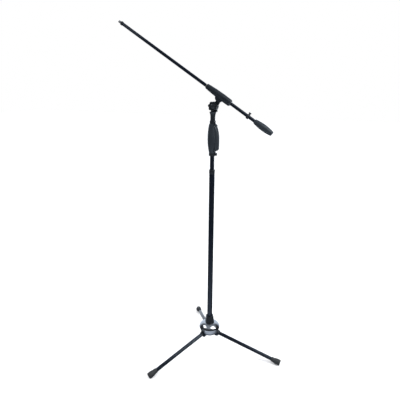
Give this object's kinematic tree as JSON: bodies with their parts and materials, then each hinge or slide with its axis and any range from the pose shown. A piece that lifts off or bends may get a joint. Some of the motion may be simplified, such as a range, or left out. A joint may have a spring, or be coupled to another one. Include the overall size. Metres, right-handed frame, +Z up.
{
  "type": "boom microphone stand",
  "caption": "Floor stand on a folding tripod: telescoping post with a squeeze grip, and a tilting, sliding boom with a threaded tip and a counterweight.",
  "frame": {"origin": "on the floor, under the middle of the bounding box of the whole stand; the axis of the post stands at x = +0.0400 m", "axes": "+Z up along the post; the boom lies in the XZ plane with its threaded tip towards -X and its counterweight towards +X; leg 1 points along +X"},
  "size_m": [0.7456, 0.5836, 1.4338],
  "materials": {
    "polished_zinc": "polished cast zinc, bright",
    "bowl_silver": "fine satin silver",
    "steel": "zinc plated steel",
    "tube_black": "gloss black powder coat",
    "moulded_slate": "fine moulded texture with a soft sheen",
    "black_plastic": "smooth moulded black",
    "foot_rubber": "matte black rubber",
    "nylon": "natural nylon",
    "spring_steel": "oiled spring wire",
    "bright_ring": "bright plated"
  },
  "bodies": {
    "base": {"hub_dome": "polished_zinc", "hub_bowl": "bowl_silver", "tube_plug": "steel", "hub_washer": "steel", "hub_bolt": "steel", "post_boot": "black_plastic", "leg_bracket_1": "tube_black", "leg_bracket_2": "tube_black", "leg_bracket_3": "tube_black", "leg_hinge_pins": "tube_black", "outer_tube": "tube_black", "tube_collar": "black_plastic"},
    "leg_1": {"leg_knuckle_1": "black_plastic", "leg_tube_1": "tube_black", "foot_1": "foot_rubber"},
    "leg_2": {"leg_knuckle_2": "black_plastic", "leg_tube_2": "tube_black", "foot_2": "foot_rubber"},
    "leg_3": {"leg_knuckle_3": "black_plastic", "leg_tube_3": "tube_black", "foot_3": "foot_rubber"},
    "brake": {"brake_shoe": "nylon"},
    "head": {"inner_tube": "tube_black", "rod_guide": "nylon", "rod_spring": "spring_steel", "grip_shell_near": "moulded_slate", "grip_shell_far": "moulded_slate", "grip_screws": "steel", "grip_lower_ring": "black_plastic", "grip_cap": "black_plastic", "lever_pin": "steel", "neck_yoke": "black_plastic", "pivot_nut": "steel", "friction_washer": "nylon"},
    "lever": {"squeeze_lever": "moulded_slate"},
    "rod": {"release_rod": "steel", "release_pin": "steel", "rod_stop": "steel", "brake_cone": "steel"},
    "knob": {"tilt_knob": "black_plastic", "pivot_bolt": "steel", "knob_washer": "steel"},
    "clamp": {"boom_clamp": "moulded_slate", "clamp_end_ring": "bright_ring"},
    "bush": {"boom_bush": "nylon"},
    "boom": {"boom_tube": "tube_black", "tip_collar": "black_plastic", "tip_stud": "bright_ring", "cable_clip": "black_plastic", "counterweight_cover": "moulded_slate", "counterweight_core": "steel"},
    "clip_screw": {"clip_screw": "black_plastic"}
  },
  "joints": [
    {"name": "leg_1_fold", "type": "hinge", "parent": "base", "child": "leg_1", "pos_m": [0.07855, 0, 0.08808], "axis": [0, 1, 0], "range_deg": [0, 74]},
    {"name": "leg_2_fold", "type": "hinge", "parent": "base", "child": "leg_2", "pos_m": [0.02068, 0.03342, 0.08808], "axis": [-0.866, -0.5, 0], "range_deg": [0, 74]},
    {"name": "leg_3_fold", "type": "hinge", "parent": "base", "child": "leg_3", "pos_m": [0.02068, -0.03342, 0.08808], "axis": [0.866, -0.5, 0], "range_deg": [0, 74]},
    {"name": "height_slide", "type": "slide", "parent": "base", "child": "brake", "axis": [0, 0, 1], "range_m": [-0.05, 0.55]},
    {"name": "post_swivel", "type": "hinge", "parent": "brake", "child": "head", "pos_m": [0.03997, 0, 0.23], "axis": [0, 0, 1], "continuous": true},
    {"name": "lever_squeeze", "type": "hinge", "parent": "head", "child": "lever", "pos_m": [0.05147, 0, 1.026], "axis": [0, 1, 0], "range_deg": [0, 4.05]},
    {"name": "rod_travel", "type": "slide", "parent": "head", "child": "rod", "axis": [0, 0, -1], "range_m": [0, 0.003], "deforming": ["rod_spring"]},
    {"name": "boom_tilt", "type": "hinge", "parent": "head", "child": "clamp", "pos_m": [0.03997, 0, 1.102], "axis": [0, 1, 0], "range_deg": [-90, 55]},
    {"name": "knob_turn", "type": "hinge", "parent": "head", "child": "knob", "pos_m": [0.03997, 0, 1.102], "axis": [0, 1, 0], "continuous": true},
    {"name": "boom_roll", "type": "hinge", "parent": "clamp", "child": "bush", "pos_m": [0.06724, 0, 1.14367], "axis": [-0.8368, 0, 0.5476], "continuous": true},
    {"name": "boom_slide", "type": "slide", "parent": "bush", "child": "boom", "axis": [-0.8368, 0, 0.5476], "range_m": [-0.42, 0.065]},
    {"name": "clip_screw_turn", "type": "hinge", "parent": "boom", "child": "clip_screw", "pos_m": [0.18313, 0, 1.06783], "axis": [0.5476, 0, 0.8368], "continuous": true}
  ],
  "couplings": [
    {"joint": "lever_squeeze", "follows": "rod_travel", "rad_per_m": 23.271}
  ]
}
